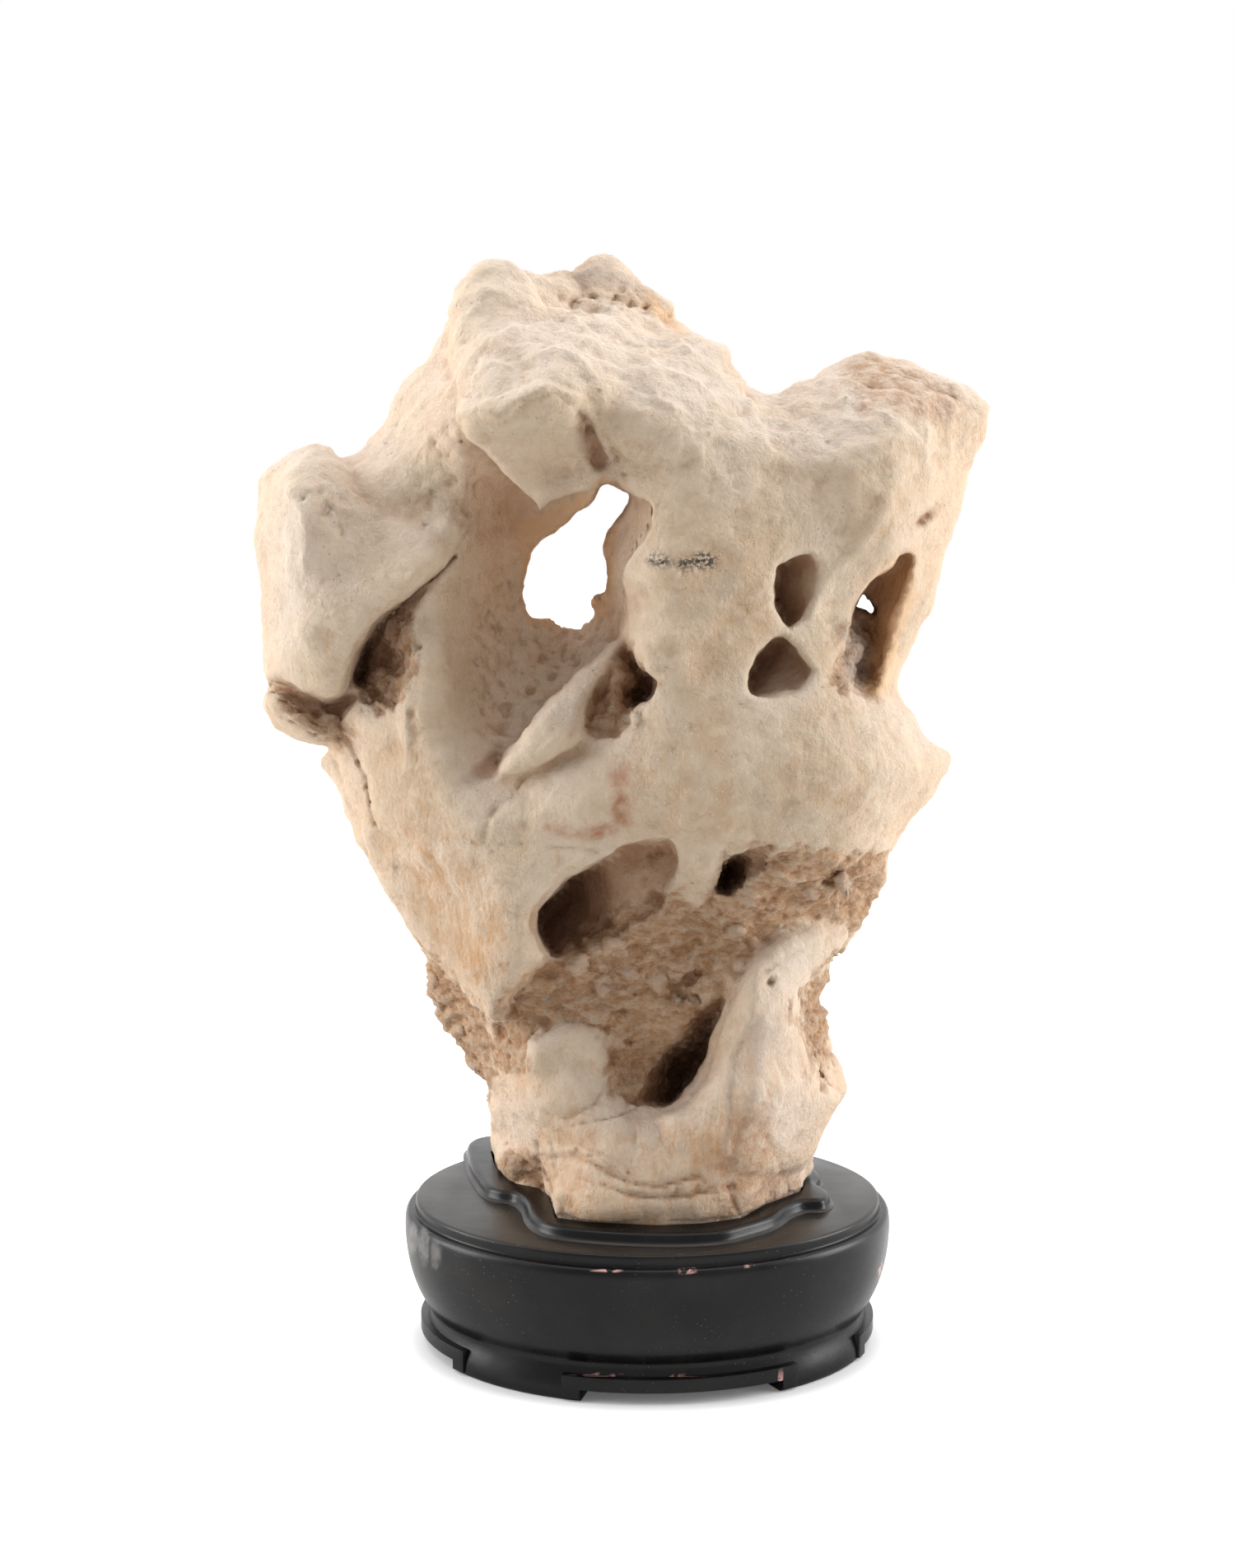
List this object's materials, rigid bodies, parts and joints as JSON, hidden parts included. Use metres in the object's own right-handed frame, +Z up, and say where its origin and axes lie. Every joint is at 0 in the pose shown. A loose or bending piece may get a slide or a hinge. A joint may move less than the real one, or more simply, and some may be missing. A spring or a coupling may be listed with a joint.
{
  "type": "scholar stone on a carved wooden stand",
  "caption": "Upright eroded pale stone with a through hole, hollows and ledges, resting in the fitted socket of an oval lacquered wooden stand.",
  "frame": {"origin": "on the ground, under the middle of the whole object's box", "axes": "+Z up, the front of the stone faces -Y, +X to the right seen from the front"},
  "size_m": [0.2568, 0.1342, 0.391],
  "materials": {
    "stone": "matte, pale cream limestone with brown matrix in the hollows",
    "lacquered_wood": "semi-gloss black lacquer, worn and chipped along the edges"
  },
  "bodies": {
    "root": {"stone": "stone", "stand": "lacquered_wood"}
  },
  "joints": []
}
